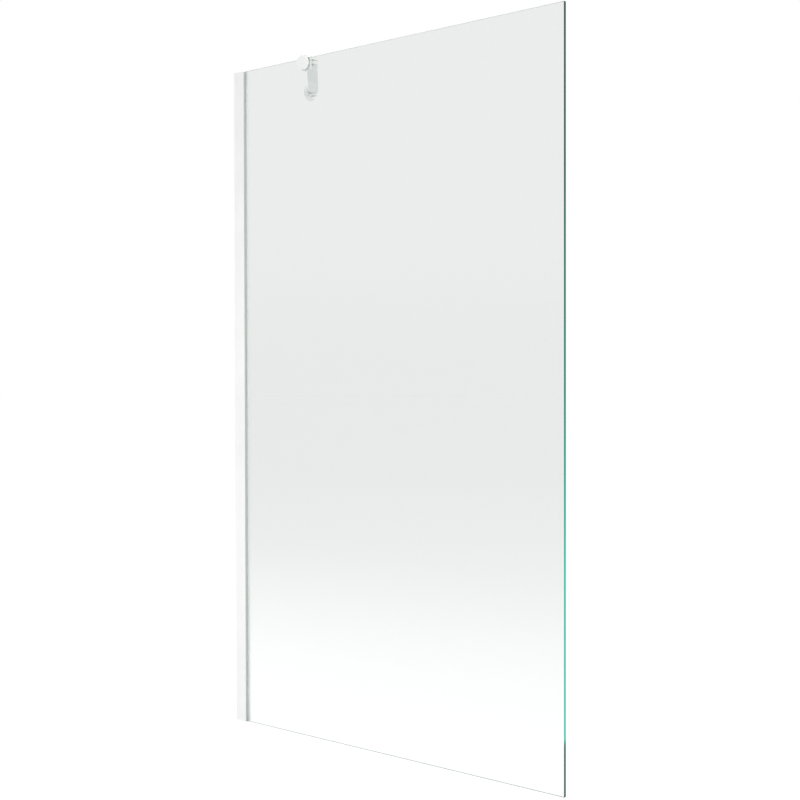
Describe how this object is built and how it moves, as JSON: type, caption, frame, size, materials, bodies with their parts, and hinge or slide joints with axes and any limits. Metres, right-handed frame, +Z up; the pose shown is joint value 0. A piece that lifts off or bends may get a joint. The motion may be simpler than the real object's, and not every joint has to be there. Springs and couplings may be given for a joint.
{
  "type": "bath screen",
  "caption": "Fixed bath screen: clear toughened pane held in a white wall profile that adjusts for plumb, with a short swivelling stay from the pane's top edge to the wall.",
  "frame": {"origin": "on the wall plane, at the foot of the wall channel's back face, level with the pane's middle plane", "axes": "+X along the pane from the wall to its free edge, +Y to the side with the stay, +Z up"},
  "size_m": [0.85, 0.2567, 1.4123],
  "materials": {
    "white_powder_coat": "white powder-coated aluminium, satin",
    "clear_glass": "clear toughened glass with polished green edges",
    "grey_gasket": "grey PVC gasket, matt",
    "dark_pad": "black EPDM pad, matt",
    "white_plastic": "white moulded ABS",
    "nylon": "natural nylon",
    "stainless_steel": "stainless steel"
  },
  "bodies": {
    "wall_side": {"wall_channel": "white_powder_coat"},
    "screen": {"post_profile": "white_powder_coat", "top_end_cap": "white_plastic", "glass_panel": "clear_glass", "front_gasket": "grey_gasket", "rear_gasket": "grey_gasket", "edge_cushion": "dark_pad", "locking_screws": "stainless_steel", "locking_washers": "nylon", "locking_nuts": "stainless_steel", "locking_caps": "white_plastic", "clamp_body": "white_powder_coat", "clamp_cover": "white_powder_coat", "clamp_front_pad": "dark_pad", "clamp_rear_pad": "dark_pad", "clamp_pressure_plate": "stainless_steel", "clamp_grub_screws": "stainless_steel", "clamp_pivot_screw": "stainless_steel", "clamp_pivot_washer": "nylon"},
    "stay": {"stay_bar": "white_powder_coat", "stay_clamp_end": "white_powder_coat", "stay_wall_end": "white_powder_coat", "stay_grub_screws": "stainless_steel"},
    "wall_foot": {"foot_bracket": "white_powder_coat", "foot_rosette": "white_powder_coat", "foot_pivot_pin": "stainless_steel", "foot_pivot_washers": "nylon"}
  },
  "joints": [
    {"name": "post_adjust", "type": "slide", "parent": "wall_side", "child": "screen", "axis": [1, 0, 0], "range_m": [0, 0.008]},
    {"name": "stay_swivel", "type": "hinge", "parent": "screen", "child": "stay", "pos_m": [0.21, 0.022, 1.3941], "axis": [0, 0, 1], "range_deg": [-130, 5]},
    {"name": "foot_swivel", "type": "hinge", "parent": "stay", "child": "wall_foot", "pos_m": [0.0125, 0.22652, 1.3941], "axis": [0, 0, 1], "range_deg": [-110, 25]}
  ]
}
